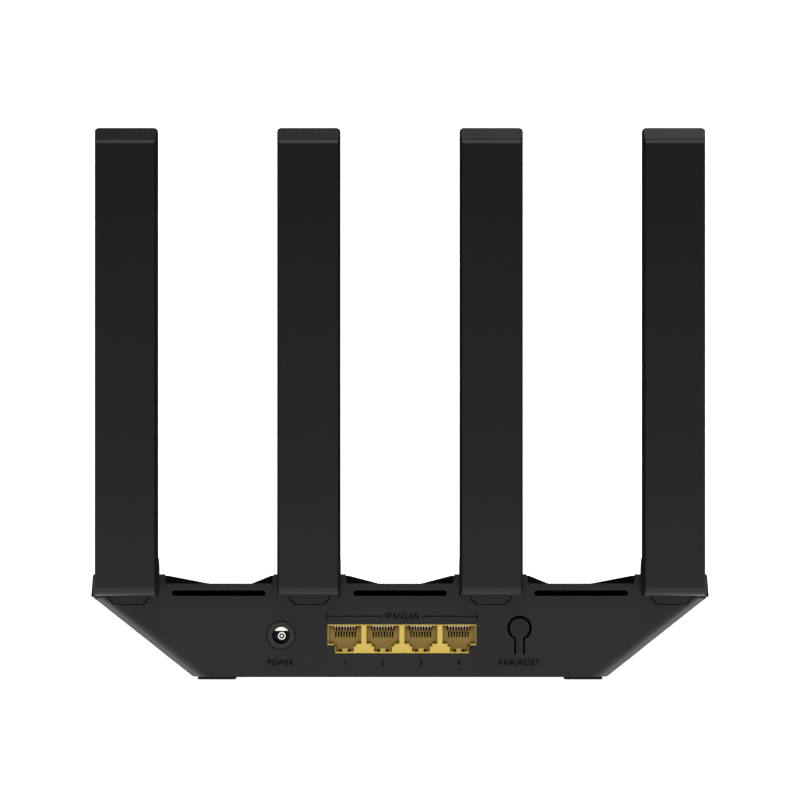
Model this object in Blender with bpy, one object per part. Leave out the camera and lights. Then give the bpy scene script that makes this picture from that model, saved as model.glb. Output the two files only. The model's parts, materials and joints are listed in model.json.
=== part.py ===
"""A wireless router with four folding blade antennas, modelled as an assembly of separate parts.

Frame: +Z is up, the port wall faces -Y and the status light faces +Y. The origin is at the bottom
centre of the whole object's box, under the feet, with the antennas upright. Units are metres.
"""

import math

import bmesh
import bpy
from mathutils import Vector

MM = 0.001
GAP = 0.3 * MM

# ---- driving dimensions of the housing ----
WALL_Y = -64.0 * MM            # outer face of the port wall
WALL_THICK = 2.0 * MM
FRONT_Y = 78.3 * MM            # front edge of the housing
DEPTH = FRONT_Y - WALL_Y
FOOT_HEIGHT = 1.0 * MM         # the bottom plate stands this far above the table
SKIN = 2.0 * MM
RIM_REAR_Z = 30.3 * MM         # where the pan meets the cover's skirt, at the port wall
RIM_FRONT_Z = 20.3 * MM        # and at the front edge
RIM_HALF = 113.4 * MM
BASE_HALF = 76.5 * MM
FLARE = (RIM_HALF - BASE_HALF) / (RIM_REAR_Z - FOOT_HEIGHT)
BASE_FRONT_Y = FRONT_Y - FLARE * (RIM_FRONT_Z - FOOT_HEIGHT)
BASE_REAR_Y = -63.0 * MM       # the port wall leans in by 1 mm at its foot
FLOOR_Z = 35.3 * MM            # recessed, ribbed floors between the antennas, at the port wall
DECK_REAR_Z = 38.6 * MM        # the cover's deck at the port wall
EDGE_Z = 25.2 * MM             # deck and recess floors meet here, at the front edge
RECESS_HALF = 19.7 * MM        # half width of a recess at the port wall
CORNER_R = 4.5 * MM

# ---- antennas ----
ANTENNA_X = [x * MM for x in (-99.75, -33.25, 33.25, 99.75)]
ANTENNA_PITCH = 66.5 * MM
KNUCKLE_R = 7.0 * MM
PIVOT_Y, PIVOT_Z = WALL_Y - KNUCKLE_R - GAP, 38.4 * MM
BLADE_REAR_Y, BLADE_FRONT_Y = PIVOT_Y - KNUCKLE_R, PIVOT_Y
BLADE_TOP_Z, BLADE_SLOPE_Z = 202.0 * MM, 196.7 * MM
BLADE_CORNER_R = 1.6 * MM
BLADE_REAR_HALF, BLADE_HALF = 10.65 * MM, 11.6 * MM
PEDESTAL_HALF_TOP, PEDESTAL_HALF_FOOT = 13.25 * MM, 13.9 * MM
PEDESTAL_FRONT_Y = -58.6 * MM
BRACKET_HALF = 7.2 * MM
ARM_LOW, ARM_HIGH = -2.4 * MM, 0.2 * MM    # the bracket's arm, above the hinge axis
EYE_R = 3.4 * MM
PIN_R = 1.5 * MM

# ---- port wall ----
PORTS_X = 0.7 * MM             # middle of the four network ports
PORT_PITCH = 13.97 * MM
JACK_X, JACK_Z = -43.7 * MM, 16.45 * MM
BUTTON_X, BUTTON_Z = 43.9 * MM, 19.1 * MM
TONGUE_Z = 9.8 * MM            # root of the button's moulded spring tongue

# ---- inside ----
BOARD_Z0, BOARD_Z1 = 6.7 * MM, 8.3 * MM
ON_BOARD = BOARD_Z1 + GAP
POST_TOP_Z = 18.0 * MM         # the pan's screw posts end here and the cover's bosses begin
LIGHT_Z = 22.8 * MM            # height of the status light in the cover's front
SCREWS = {
    "rear_left": (-59.1 * MM, -50.0 * MM),
    "rear_right": (59.1 * MM, -50.0 * MM),
    "front_left": (-50.0 * MM, 33.0 * MM),
    "front_right": (50.0 * MM, 33.0 * MM),
}


# ---------------------------------------------------------------- helpers

def clear_scene():
    for old in list(bpy.data.objects):
        bpy.data.objects.remove(old)


def material(name, colour, roughness, metallic=0.0):
    made = bpy.data.materials.new(name)
    made.use_nodes = True
    shader = made.node_tree.nodes["Principled BSDF"]
    shader.inputs["Base Color"].default_value = (*colour, 1.0)
    shader.inputs["Roughness"].default_value = roughness
    shader.inputs["Metallic"].default_value = metallic
    return made


def link(name, mesh, finish=None):
    obj = bpy.data.objects.new(name, mesh)
    bpy.context.scene.collection.objects.link(obj)
    if finish is not None:
        mesh.materials.append(finish)
    return obj


def mesh_from(bm):
    bmesh.ops.remove_doubles(bm, verts=bm.verts, dist=1e-7)
    bmesh.ops.recalc_face_normals(bm, faces=bm.faces)
    mesh = bpy.data.meshes.new("solid")
    bm.to_mesh(mesh)
    bm.free()
    return mesh


def prism(name, outline, axis, start, end, finish=None):
    """An outline in the plane across an axis, extruded from start to end along it.

    The outline's points are (y, z) for axis X, (x, z) for axis Y and (x, y) for axis Z.
    """
    bm = bmesh.new()
    place = {
        "X": lambda a, b: (start, a, b),
        "Y": lambda a, b: (a, start, b),
        "Z": lambda a, b: (a, b, start),
    }[axis]
    face = bm.faces.new([bm.verts.new(place(a, b)) for a, b in outline])
    grown = bmesh.ops.extrude_face_region(bm, geom=[face])
    along = Vector([end - start if letter == axis else 0.0 for letter in "XYZ"])
    moved = [item for item in grown["geom"] if isinstance(item, bmesh.types.BMVert)]
    bmesh.ops.translate(bm, verts=moved, vec=along)
    return link(name, mesh_from(bm), finish)


def box(name, low, high, finish=None):
    """A box between two corners given in millimetres."""
    (x0, y0, z0), (x1, y1, z1) = low, high
    outline = [(x0 * MM, y0 * MM), (x1 * MM, y0 * MM), (x1 * MM, y1 * MM), (x0 * MM, y1 * MM)]
    return prism(name, outline, "Z", z0 * MM, z1 * MM, finish)


def circle(centre, radius, count, first=0.0, last=360.0):
    """Points of an arc, in degrees; a full turn leaves out the repeated last point."""
    full = abs(last - first) >= 360.0
    steps = count if full else count - 1
    angles = [math.radians(first + (last - first) * i / steps) for i in range(count)]
    return [(centre[0] + radius * math.cos(a), centre[1] + radius * math.sin(a)) for a in angles]


def rod(name, centre, radius, axis, start, end, count=20, finish=None):
    obj = prism(name, circle(centre, radius, count), axis, start, end, finish)
    shade_round(obj)
    return obj


def shade_round(obj):
    obj.data.shade_smooth()
    obj.data.set_sharp_from_angle(angle=math.radians(35))


def boolean(obj, other, operation):
    """Joins, cuts or intersects obj with a helper, which is then left out of the build."""
    other.hide_render = True
    other.display_type = "WIRE"
    step = obj.modifiers.new(other.name, "BOOLEAN")
    step.operation = operation
    step.object = other
    step.solver = "EXACT"


def cut(obj, *tools):
    for tool in tools:
        boolean(obj, tool, "DIFFERENCE")


def join(obj, *others):
    for other in others:
        boolean(obj, other, "UNION")


def round_edges(obj, width, segments, chosen):
    """Rounds the edges for which chosen(first point, second point) holds."""
    bm = bmesh.new()
    bm.from_mesh(obj.data)
    edges = [edge for edge in bm.edges if chosen(edge.verts[0].co, edge.verts[1].co)]
    bmesh.ops.bevel(
        bm, geom=edges, offset=width, offset_type="OFFSET", segments=segments, profile=0.5, affect="EDGES"
    )
    bm.to_mesh(obj.data)
    bm.free()
    shade_round(obj)


# ---------------------------------------------------------------- finishes

def make_finishes():
    return {
        "housing_black": material("housing_black", (0.022, 0.022, 0.023), 0.45),
        "antenna_black": material("antenna_black", (0.018, 0.018, 0.019), 0.42),
        "port_yellow": material("port_yellow", (0.52, 0.36, 0.05), 0.4),
        "contact_metal": material("contact_metal", (0.75, 0.7, 0.62), 0.25, 1.0),
        "foot_rubber": material("foot_rubber", (0.01, 0.01, 0.01), 0.8),
        "board_green": material("board_green", (0.01, 0.09, 0.04), 0.45),
        "heat_sink_aluminium": material("heat_sink_aluminium", (0.55, 0.56, 0.58), 0.4, 1.0),
        "shield_steel": material("shield_steel", (0.6, 0.6, 0.6), 0.35, 1.0),
        "screw_steel": material("screw_steel", (0.35, 0.35, 0.36), 0.35, 1.0),
        "jack_black": material("jack_black", (0.02, 0.02, 0.021), 0.4),
        "chip_black": material("chip_black", (0.015, 0.015, 0.016), 0.5),
        "thermal_grey": material("thermal_grey", (0.35, 0.38, 0.42), 0.8),
        "clear_guide": material("clear_guide", (0.85, 0.88, 0.9), 0.15),
        "label_white": material("label_white", (0.7, 0.7, 0.7), 0.6),
        "lead_grey": material("lead_grey", (0.12, 0.12, 0.13), 0.5),
    }


# ---------------------------------------------------------------- housing

def between(rear, front, y):
    """A height that falls in a straight line from the port wall to the front edge."""
    return rear + (front - rear) * (y - WALL_Y) / DEPTH


def deck_z(y):
    return between(DECK_REAR_Z, EDGE_Z, y)


def floor_z(y):
    return between(FLOOR_Z, EDGE_Z, y)


def rim_z(y):
    return between(RIM_REAR_Z, RIM_FRONT_Z, y)


def slab(name, half, rear, front, bottom, top, middle=0.0, finish=None):
    """A block whose half width, underside and top are each a function of y."""
    bm = bmesh.new()
    rings = []
    for y in (rear, front):
        low, high = middle - half(y), middle + half(y)
        ring = [(low, bottom(y)), (high, bottom(y)), (high, top(y)), (low, top(y))]
        rings.append([bm.verts.new((x, y, z)) for x, z in ring])
    bm.faces.new(rings[0])
    bm.faces.new(rings[1])
    for i in range(4):
        j = (i + 1) % 4
        bm.faces.new([rings[0][i], rings[0][j], rings[1][j], rings[1][i]])
    return link(name, mesh_from(bm), finish)


def recess_half(y):
    """Half width of a ribbed recess: widest at the port wall, closing to nothing at the front edge."""
    return RECESS_HALF * (1 - (y - WALL_Y) / DEPTH)


def bracket_outline(grow):
    """The bracket's face on the port wall: upright sides with chamfered lower corners."""
    half, low = BRACKET_HALF + grow, 27.85 * MM - grow
    foot, knee, top = half - 2.2 * MM, low + 2.2 * MM, 42 * MM
    return [(-foot, low), (foot, low), (half, knee), (half, top), (-half, top), (-half, knee)]


def port_cutout(grow):
    """The stepped window in the port wall that shows the four network ports."""
    wide, narrow = 27.5 * MM + grow, 24.7 * MM + grow
    low, step, top = 9.5 * MM - grow, 12.4 * MM - grow, 20.65 * MM + grow
    points = [(-narrow, low), (narrow, low), (narrow, step), (wide, step)]
    points += [(wide, top), (-wide, top), (-wide, step), (-narrow, step)]
    return [(PORTS_X + x, z) for x, z in points]


def slot_outline(middle, height, half_length, radius, count=6):
    """A slot with round ends, in the plane of the port wall."""
    right = circle((middle + half_length - radius, height), radius, count, -90, 90)
    left = circle((middle - half_length + radius, height), radius, count, 90, 270)
    return right + left


def pan_block(name, inset, floor, rim_lift, finish=None):
    """The pan's faceted block, with every wall moved in by inset and its top lifted off the rim plane."""
    bm = bmesh.new()
    side = inset * math.hypot(1.0, FLARE)
    foot_lift = floor - FOOT_HEIGHT
    rim = (
        RIM_HALF + FLARE * rim_lift - side,
        (WALL_Y + inset, RIM_REAR_Z + rim_lift),
        (FRONT_Y + FLARE * rim_lift - side, RIM_FRONT_Z + rim_lift),
    )
    foot = (
        BASE_HALF + FLARE * foot_lift - side,
        (WALL_Y + inset if inset else BASE_REAR_Y, floor),
        (BASE_FRONT_Y + FLARE * foot_lift - side, floor),
    )
    rings = []
    for half, (rear_y, rear_z), (front_y, front_z) in (foot, rim):
        rear = [(-half, rear_y, rear_z), (half, rear_y, rear_z)]
        ring = [*rear, (half, front_y, front_z), (-half, front_y, front_z)]
        rings.append([bm.verts.new(corner) for corner in ring])
    bm.faces.new(rings[0])
    bm.faces.new(rings[1])
    for i in range(4):
        j = (i + 1) % 4
        bm.faces.new([rings[0][i], rings[0][j], rings[1][j], rings[1][i]])
    # The side walls twist a little from rear to front, so each is split into two flat triangles.
    bm.normal_update()
    bmesh.ops.triangulate(bm, faces=[face for face in bm.faces if abs(face.normal.x) > 0.1])
    return link(name, mesh_from(bm), finish)


def pedestal_block(number, x):
    """The raised block behind an antenna. The outer two reach the pan's side and share its round corner."""
    outer = 113.0 * MM
    outline = [
        (x - PEDESTAL_HALF_FOOT, 28 * MM),
        (x + PEDESTAL_HALF_FOOT, 28 * MM),
        (x + PEDESTAL_HALF_FOOT, FLOOR_Z),
        (x + PEDESTAL_HALF_TOP, DECK_REAR_Z),
        (x - PEDESTAL_HALF_TOP, DECK_REAR_Z),
        (x - PEDESTAL_HALF_FOOT, FLOOR_Z),
    ]
    outline = [(max(-outer, min(outer, a)), b) for a, b in outline]
    # Below the rim the outer two keep inside the flat of the wall, clear of the pan's rounded edge.
    low = [(103.3 * MM, 28 * MM), (106.0 * MM, 30.15 * MM), (outer, 30.15 * MM)]
    if number == 1:
        outline[0] = (-low[0][0], low[0][1])
        outline += [(-a, b) for a, b in reversed(low[1:])]
    if number == 4:
        outline[1:2] = low
    block = prism(f"pedestal_{number}", outline, "Y", WALL_Y, PEDESTAL_FRONT_Y)
    if number in (1, 4):
        round_edges(
            block, CORNER_R, 3,
            lambda p, q: min(abs(p.x), abs(q.x)) > 112.8 * MM
            and max(p.y, q.y) < WALL_Y + 0.1 * MM and abs(p.z - q.z) > 1 * MM,
        )
    return block


def make_bottom_shell(finish):
    """The lower pan with the port wall, the antenna pedestals and the screw posts."""
    pan = pan_block("bottom_shell", 0.0, FOOT_HEIGHT, 0.0, finish)
    upright = 10 * MM
    round_edges(
        pan, CORNER_R, 3,
        lambda p, q: abs(p.z - q.z) > upright and abs(p.x) > BASE_HALF - MM and abs(q.x) > BASE_HALF - MM
        and abs(abs(p.x) - abs(q.x)) > upright and (p.y < 0) == (q.y < 0),
    )
    wall = box("wall_above_rim", (-103, -64, 28), (103, -62, FLOOR_Z / MM))
    join(pan, wall)
    for number, x in enumerate(ANTENNA_X, 1):
        join(pan, pedestal_block(number, x))

    hollow = pan_block("pan_hollow", SKIN, FOOT_HEIGHT + SKIN, 0.2 * MM)
    for number, x in enumerate(ANTENNA_X, 1):
        # The pedestals stay solid above 28 mm, where the hollow would otherwise open them.
        low, high = x - PEDESTAL_HALF_FOOT, x + PEDESTAL_HALF_FOOT
        if number == 1:
            low = -120 * MM
        if number == 4:
            high = 120 * MM
        core = ((low / MM, -66, 28), (high / MM, PEDESTAL_FRONT_Y / MM, 34))
        cut(hollow, box(f"pedestal_core_{number}", *core))
    cut(pan, hollow)

    for name, (x, y) in SCREWS.items():
        join(pan, rod(f"post_{name}", (x, y), 3.6 * MM, "Z", 1.5 * MM, POST_TOP_Z, 16))
    for number, (x, y) in enumerate(((-44, -27), (44, -27), (-44, 23), (44, 23)), 1):
        top = BOARD_Z0 - GAP
        join(pan, rod(f"board_rest_{number}", (x * MM, y * MM), 2.2 * MM, "Z", 2.5 * MM, top, 12))

    for number, x in enumerate(ANTENNA_X, 1):
        outline = [(x + a, b) for a, b in bracket_outline(GAP)]
        cut(pan, prism(f"bracket_window_{number}", outline, "Y", -67 * MM, -56 * MM))
    for number, x in enumerate((-ANTENNA_PITCH, 0.0, ANTENNA_PITCH), 1):
        outline = slot_outline(x, 31.9 * MM, 17.25 * MM, 1.03 * MM)
        cut(pan, prism(f"wall_slot_{number}", outline, "Y", -67 * MM, -60 * MM))
    cut(pan, prism("port_window", port_cutout(0.0), "Y", -67 * MM, -60 * MM))
    cut(pan, rod("jack_window", (JACK_X, JACK_Z), 5.35 * MM, "Y", -67 * MM, -60 * MM, 28))
    slit, foot = 2.0 * MM, TONGUE_Z - GAP
    tongue = [(-slit, foot), (slit, foot), (slit, BUTTON_Z), (-slit, BUTTON_Z)]
    outline = [(BUTTON_X + a, b) for a, b in tongue]
    cut(pan, prism("tongue_window", outline, "Y", -67 * MM, -60 * MM))
    cut(pan, rod("button_window", (BUTTON_X, BUTTON_Z), 4.55 * MM, "Y", -67 * MM, -60 * MM, 28))
    for name, (x, y) in SCREWS.items():
        cut(pan, rod(f"screw_way_{name}", (x, y), 1.8 * MM, "Z", -1 * MM, 22 * MM, 12))
        cut(pan, rod(f"head_way_{name}", (x, y), 2.9 * MM, "Z", -1 * MM, 12 * MM, 14))
    for side in (-1, 1):
        for row in range(6):
            y = -28 + 9 * row
            low_x, high_x = sorted((side * 38, side * 62))
            cut(pan, box(f"floor_vent_{side}_{row}", (low_x, y, -1), (high_x, y + 2.4, 5)))
    return pan


def make_top_cover(finish):
    """The deck with its skirt, three sunk floors that carry the ribs, and four screw bosses."""
    side_rear = PEDESTAL_FRONT_Y + GAP
    rear = WALL_Y + WALL_THICK + GAP
    cover = slab(
        "top_cover", lambda y: 113.3 * MM, rear, FRONT_Y, lambda y: rim_z(y) + GAP, deck_z, finish=finish
    )
    # The skirt flares out by half a millimetre at its lower edge.
    for vertex in cover.data.vertices:
        if vertex.co.z < rim_z(vertex.co.y) + 1 * MM:
            vertex.co.x *= 113.9 / 113.3
    round_edges(cover, CORNER_R, 3, lambda p, q: min(p.y, q.y) > 70 * MM and abs(p.z - q.z) > 1 * MM)
    under = slab(
        "cover_hollow", lambda y: 111.3 * MM, -70 * MM, FRONT_Y - SKIN,
        lambda y: 5 * MM, lambda y: deck_z(y) - SKIN,
    )
    cut(cover, under)

    floor_end = FRONT_Y - 12 * MM
    middles = {"left": -ANTENNA_PITCH, "middle": 0.0, "right": ANTENNA_PITCH}
    for name, middle in middles.items():
        tray = slab(
            f"tray_{name}", lambda y: recess_half(y) + SKIN, rear, floor_end,
            lambda y: floor_z(y) - SKIN, lambda y: deck_z(y) - 0.3 * MM, middle,
        )
        join(cover, tray)
    for name, (x, y) in SCREWS.items():
        join(cover, rod(f"boss_{name}", (x, y), 2.3 * MM, "Z", POST_TOP_Z + GAP, floor_z(y) - MM, 14))
    for number, x in enumerate(ANTENNA_X, 1):
        low = ((x - PEDESTAL_HALF_FOOT - GAP) / MM, -70, 15)
        high = ((x + PEDESTAL_HALF_FOOT + GAP) / MM, side_rear / MM, 45)
        if number == 1:
            low = (-120, -70, 15)
        if number == 4:
            high = (120, side_rear / MM, 45)
        cut(cover, box(f"pedestal_notch_{number}", low, high))
    for name, middle in middles.items():
        recess = slab(
            f"recess_{name}", recess_half, rear - MM, FRONT_Y - 2 * MM,
            floor_z, lambda y: deck_z(y) + 3 * MM, middle,
        )
        cut(cover, recess)
    for name, (x, y) in SCREWS.items():
        cut(cover, rod(f"pilot_{name}", (x, y), 1.35 * MM, "Z", 12 * MM, floor_z(y) - 3 * MM, 10))
    low, high = LIGHT_Z - 1.1 * MM, LIGHT_Z + 1.1 * MM
    cut(cover, box("light_window", (-3.3, 70, low / MM), (3.3, 80, high / MM)))
    return cover


def make_feet(finish):
    """Four rubber pads under the pan."""
    for end, (y0, y1) in {"rear": (-61.8, -54.2), "front": (24.0, 31.6)}.items():
        for side, sign in (("left", -1), ("right", 1)):
            x0, x1 = sorted((sign * 60.4, sign * 74.5))
            foot = box(f"foot_{end}_{side}", (x0, y0, 0), (x1, y1, FOOT_HEIGHT / MM - 0.3), finish)
            round_edges(foot, 1.2 * MM, 3, lambda p, q: abs(p.z - q.z) > 0.5 * MM)


def make_screws(finish):
    """Pan-head screws sunk in the pan, reaching into the cover's bosses."""
    for name, (x, y) in SCREWS.items():
        tip = floor_z(y) - 4.8 * MM
        screw = rod(f"housing_screw_{name}", (x, y), 1.0 * MM, "Z", 12.5 * MM, tip, 10, finish)
        head = rod(f"head_{name}", (x, y), 2.55 * MM, "Z", 9.5 * MM, 11.7 * MM, 14)
        neck = rod(f"neck_{name}", (x, y), 1.0 * MM, "Z", 11.0 * MM, 13.5 * MM, 10)
        recess = rod(f"drive_{name}", (x, y), 1.1 * MM, "Z", 8 * MM, 10.6 * MM, 6)
        join(screw, neck, head)
        cut(screw, recess)


# ---------------------------------------------------------------- antennas

def antenna_profile():
    """Side view of an antenna: blade, sloped top and round knuckle, as (y, z) points."""
    heel_r = 3.3 * MM
    heel_z = PIVOT_Z - KNUCKLE_R + 0.3 * MM + heel_r
    heel = circle((BLADE_REAR_Y + heel_r, heel_z), heel_r, 7, 180, 265)
    knuckle = circle((PIVOT_Y, PIVOT_Z), KNUCKLE_R, 16, 270, 450)
    top = [
        (BLADE_FRONT_Y, BLADE_TOP_Z),
        (BLADE_FRONT_Y - 0.9 * MM, BLADE_TOP_Z),
        (BLADE_REAR_Y + 0.8 * MM, BLADE_SLOPE_Z + 0.6 * MM),
        (BLADE_REAR_Y, BLADE_SLOPE_Z - 0.9 * MM),
    ]
    return heel + knuckle + top


def blade_front_view(x):
    """Front view of an antenna, with its two upper corners rounded, as (x, z) points."""
    half, corner = BLADE_HALF + 0.01 * MM, BLADE_TOP_Z + 0.01 * MM - BLADE_CORNER_R
    inner = half - BLADE_CORNER_R
    right = circle((x + inner, corner), BLADE_CORNER_R, 5, 0, 90)
    left = circle((x - inner, corner), BLADE_CORNER_R, 5, 90, 180)
    return [(x - half, 20 * MM), (x + half, 20 * MM), *right, *left]


def make_antenna(number, x, finishes):
    """The folding half of one hinge: shell, lid, radiator and pin."""
    name = f"antenna_{number}"
    low, high = x - BLADE_HALF, x + BLADE_HALF
    black = finishes["antenna_black"]
    shell = prism(f"{name}_rear_shell", antenna_profile(), "X", low, high, black)
    tapered = [
        (x - BLADE_REAR_HALF, BLADE_REAR_Y - 0.01 * MM),
        (x + BLADE_REAR_HALF, BLADE_REAR_Y - 0.01 * MM),
        (x + BLADE_HALF + 0.01 * MM, BLADE_FRONT_Y),
        (x + BLADE_HALF + 0.01 * MM, -60 * MM),
        (x - BLADE_HALF - 0.01 * MM, -60 * MM),
        (x - BLADE_HALF - 0.01 * MM, BLADE_FRONT_Y),
    ]
    boolean(shell, prism(f"draft_{number}", tapered, "Z", 20 * MM, 210 * MM), "INTERSECT")
    boolean(shell, prism(f"corners_{number}", blade_front_view(x), "Y", -85 * MM, -60 * MM), "INTERSECT")
    middle = x / MM
    pivot, pivot_y, pivot_z = (PIVOT_Y, PIVOT_Z), PIVOT_Y / MM, PIVOT_Z / MM
    slot = BRACKET_HALF + 0.4 * MM
    arm_way = (ARM_LOW / MM - 0.4, ARM_HIGH / MM + 0.4)
    cut(
        shell,
        rod(f"knuckle_bore_{number}", pivot, KNUCKLE_R - 1.8 * MM, "X", x - slot, x + slot, 24),
        box(
            f"knuckle_mouth_{number}",
            (middle - slot / MM, pivot_y + arm_way[0], pivot_z - 10),
            (middle + slot / MM, pivot_y + 10, pivot_z + arm_way[1]),
        ),
        rod(f"pin_bore_{number}", pivot, PIN_R + GAP, "X", x - 10.3 * MM, x + 10.3 * MM, 12),
        box(f"blade_hollow_{number}", (middle - 9.0, pivot_y - 5.4, 48), (middle + 9.0, -60, 191)),
        box(f"lead_way_{number}", (middle - 1.5, pivot_y - 4.1, 40), (middle + 1.5, pivot_y - 2.1, 50)),
    )
    box(
        f"{name}_front_lid", (middle - 8.7, pivot_y - 1.7, 48.3), (middle + 8.7, pivot_y, 190.7), black
    )
    radiator = box(
        f"{name}_radiator", (middle - 6, pivot_y - 4.6, 66), (middle + 6, pivot_y - 3.8, 182),
        finishes["board_green"],
    )
    join(radiator, rod(f"feed_{number}", (x, PIVOT_Y - 3.4 * MM), 0.65 * MM, "Z", 51 * MM, 72 * MM, 8))
    rod(f"{name}_pin", pivot, PIN_R, "X", x - 10 * MM, x + 10 * MM, 12, finishes["screw_steel"])


def make_bracket(number, x, finish):
    """The fixed half of a hinge: an arm with an eye for the pin, set flush in the port wall."""
    pivot = (PIVOT_Y, PIVOT_Z)
    eye_low = math.degrees(math.asin(ARM_LOW / EYE_R))
    eye_high = math.degrees(math.asin(ARM_HIGH / EYE_R))
    outline = [(WALL_Y, 27 * MM), (WALL_Y, PIVOT_Z + ARM_LOW)]
    outline += circle(pivot, EYE_R, 16, eye_low, eye_high - 360)
    outline += [(-58.9 * MM, DECK_REAR_Z), (-58.9 * MM, 27 * MM)]
    bracket = prism(f"hinge_bracket_{number}", outline, "X", x - BRACKET_HALF, x + BRACKET_HALF, finish)
    seen = [(x + a, b) for a, b in bracket_outline(0.0)]
    boolean(bracket, prism(f"bracket_face_{number}", seen, "Y", -80 * MM, -56 * MM), "INTERSECT")
    middle = x / MM
    # The flange clamps the bracket from inside. On the outer two it is cut short of the pan's sloping side.
    low, high = middle - 10.2, middle + 10.2
    if number == 1:
        low = middle - 4.8
    if number == 4:
        high = middle + 4.8
    join(
        bracket,
        box(f"flange_web_{number}", (middle - 4.5, -60.0, 29), (middle + 4.5, -57.5, 35)),
        box(f"flange_{number}", (low, -58.3, 28.3), (high, -56.6, 34.6)),
    )
    cut(bracket, rod(f"eye_{number}", pivot, PIN_R + GAP, "X", x - 9 * MM, x + 9 * MM, 12))


# The leads of the two right-hand antennas, in millimetres. The left-hand ones are their mirror images.
OUTER_LEAD = [
    (99.75, -56.1, 31.5), (99.6, -53.5, 31.0), (95, -44, 27.0), (80, -37.5, 20.0), (64, -36, 14.5),
    (54, -35.5, 11.2), (49, -35.0, 9.9),
]
INNER_LEAD = [
    (33.25, -56.1, 31.5), (33.3, -53.0, 30.8), (33.8, -44, 26.0), (35, -37, 18.0), (36.5, -32.5, 12.0),
    (38, -29.5, 9.9),
]


def smooth_route(points, steps):
    """Points on a Catmull-Rom curve through the given ones."""
    route = [Vector(p) * MM for p in points]
    padded = [2 * route[0] - route[1], *route, 2 * route[-1] - route[-2]]
    made = []
    for i in range(1, len(padded) - 2):
        a, b, c, d = padded[i - 1 : i + 3]
        for step in range(steps):
            t = step / steps
            square = 2 * a - 5 * b + 4 * c - d
            cube = 3 * b - a - 3 * c + d
            made.append(0.5 * (2 * b + (c - a) * t + square * t**2 + cube * t**3))
    return [*made, route[-1]]


def make_lead(number, finish):
    """The thin coaxial lead from a hinge bracket to the circuit board."""
    curve = bpy.data.curves.new("lead", "CURVE")
    curve.dimensions = "3D"
    curve.bevel_depth = 0.65 * MM
    curve.bevel_resolution = 2
    curve.use_fill_caps = True
    side = -1 if number < 3 else 1
    route = OUTER_LEAD if number in (1, 4) else INNER_LEAD
    points = smooth_route([(side * x, y, z) for x, y, z in route], 3)
    spline = curve.splines.new("POLY")
    spline.points.add(len(points) - 1)
    for target, point in zip(spline.points, points):
        target.co = (*point, 1.0)
    obj = bpy.data.objects.new(f"antenna_{number}_lead", curve)
    curve.materials.append(finish)
    bpy.context.scene.collection.objects.link(obj)


# ---------------------------------------------------------------- electronics

def make_board(finish):
    outline = [(-54.5, -60.8), (54.5, -60.8), (54.5, 27), (14, 27)]
    outline += [(14, 42), (-14, 42), (-14, 27), (-54.5, 27)]
    prism("circuit_board", [(a * MM, b * MM) for a, b in outline], "Z", BOARD_Z0, BOARD_Z1, finish)


def make_ethernet_block(finishes):
    """The ganged network socket with four keyed ports, and a contact comb in each."""
    low = ON_BOARD / MM
    middle = PORTS_X / MM
    metal = finishes["contact_metal"]
    block = prism("ethernet_block", port_cutout(-GAP), "Y", -63.0 * MM, -58 * MM, finishes["port_yellow"])
    join(block, box("block_body", (middle - 28.2, -61.2, low), (middle + 28.2, -44.0, 21.6)))
    for number in range(1, 5):
        x = middle + (number - 2.5) * PORT_PITCH / MM
        key = [(-3.3, 10.3), (3.3, 10.3), (3.3, 12.2), (4.2, 12.2), (4.2, 13.2), (6.05, 13.2)]
        key += [(6.05, 19.95), (-6.05, 19.95), (-6.05, 13.2), (-4.2, 13.2), (-4.2, 12.2), (-3.3, 12.2)]
        outline = [((x + a) * MM, b * MM) for a, b in key]
        cut(block, prism(f"port_cavity_{number}", outline, "Y", -66 * MM, -50.6 * MM))
        comb = box(f"contact_comb_{number}", (x - 5.4, -51.9, 17.0), (x + 5.4, -50.9, 19.6), metal)
        for wire in range(8):
            wire_x = x + (wire - 3.5) * 1.02
            side = [(-61.6, 19.6), (-61.6, 19.2), (-54.5, 17.6)]
            side += [(-51.4, 17.6), (-51.4, 18.0), (-54.4, 18.0)]
            strand = prism(
                f"strand_{number}_{wire}", [(a * MM, b * MM) for a, b in side], "X",
                (wire_x - 0.22) * MM, (wire_x + 0.22) * MM,
            )
            join(comb, strand)


def make_power_jack(finishes):
    """The round power inlet: a barrel on a block, its pin, and the spring contact above the pin."""
    x, low = JACK_X / MM, ON_BOARD / MM
    centre, metal = (JACK_X, JACK_Z), finishes["contact_metal"]
    body = rod("power_jack_body", centre, 5.0 * MM, "Y", -63.8 * MM, -59 * MM, 28, finishes["jack_black"])
    join(body, box("jack_block", (x - 5.0, -61.2, low), (x + 5.0, -49.5, 21.3)))
    cut(body, rod("barrel_bore", centre, 3.25 * MM, "Y", -66 * MM, -52.0 * MM, 24))
    pin = (JACK_X + 0.25 * MM, JACK_Z - 0.35 * MM)
    rod("power_jack_pin", pin, 1.2 * MM, "Y", -62.3 * MM, -52.3 * MM, 14, metal)
    # The spring fills the bore's upper segment, above a chord 1.35 mm over its middle.
    radius, chord = 2.95 * MM, 1.35 * MM
    start = math.degrees(math.asin(chord / radius))
    segment = circle(centre, radius, 9, start, 180 - start)
    prism("power_jack_spring", segment, "Y", -60.5 * MM, -53.0 * MM, metal)


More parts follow.
